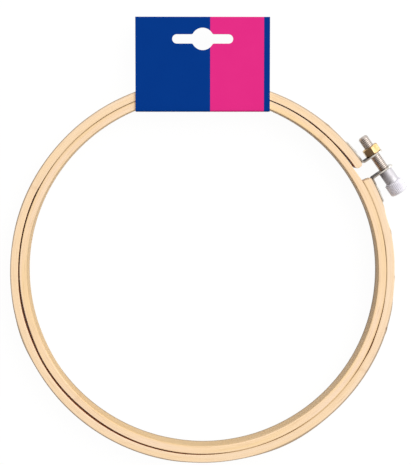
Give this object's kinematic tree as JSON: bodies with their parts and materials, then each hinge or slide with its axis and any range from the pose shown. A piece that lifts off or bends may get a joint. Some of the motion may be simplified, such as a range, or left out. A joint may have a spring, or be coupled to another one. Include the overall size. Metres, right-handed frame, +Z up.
{
  "type": "embroidery hoop",
  "caption": "Round two-ring embroidery hoop of bamboo strip with a knurled screw clamp on riveted lugs and a folded hang card round its top.",
  "frame": {"origin": "under the middle of the part's outline, on the surface that the hoop lies on", "axes": "+Z up along the hoop's axis, towards the side that is seen; +Y towards the hang card's top edge; the screw clamp lies at the +X side"},
  "size_m": [0.1624, 0.1826, 0.0103],
  "materials": {
    "bamboo_inner_ring": "sanded, unvarnished",
    "bamboo_outer_ring": "sanded, unvarnished",
    "nickel_plated_steel": "bright nickel plate",
    "knurled_nickel_plate": "knurled, nickel plate",
    "turned_brass": "turned from bar",
    "printed_board": "coated board, printed in two flat colours"
  },
  "bodies": {
    "nut_side": {"outer_ring_nut_side": "bamboo_outer_ring", "nut_side_bracket": "nickel_plated_steel", "nut_side_rivet_upper": "nickel_plated_steel", "nut_side_rivet_lower": "nickel_plated_steel", "threaded_bush": "turned_brass"},
    "screw_side": {"outer_ring_screw_side": "bamboo_outer_ring", "screw_side_bracket": "nickel_plated_steel", "screw_side_rivet_upper": "nickel_plated_steel", "screw_side_rivet_lower": "nickel_plated_steel"},
    "thumb_screw": {"thumb_screw_stud": "nickel_plated_steel", "thumb_screw_head": "knurled_nickel_plate"},
    "inner_ring": {"inner_ring": "bamboo_inner_ring"},
    "header_card": {"header_card": "printed_board"}
  },
  "joints": [
    {"name": "outer_ring_opening", "type": "hinge", "parent": "nut_side", "child": "screw_side", "pos_m": [-0.06577, -0.05639, 0.00515], "axis": [0, 0, -1], "range_deg": [0, 2]},
    {"name": "thumb_screw_turn", "type": "hinge", "parent": "screw_side", "child": "thumb_screw", "pos_m": [0.07104, 0.03104, 0.00515], "axis": [0.5693, -0.8221, 0], "range_deg": [0, 2880]},
    {"name": "inner_ring_turn", "type": "hinge", "parent": "nut_side", "child": "inner_ring", "pos_m": [-0.00243, -0.01252, 0.00515], "axis": [0, 0, 1], "continuous": true},
    {"name": "header_card_slide", "type": "hinge", "parent": "nut_side", "child": "header_card", "pos_m": [-0.00243, -0.01252, 0.00515], "axis": [0, 0, 1], "range_deg": [-26, 95]}
  ],
  "couplings": [
    {"joint": "outer_ring_opening", "follows": "thumb_screw_turn", "ratio": 0.00068665}
  ]
}
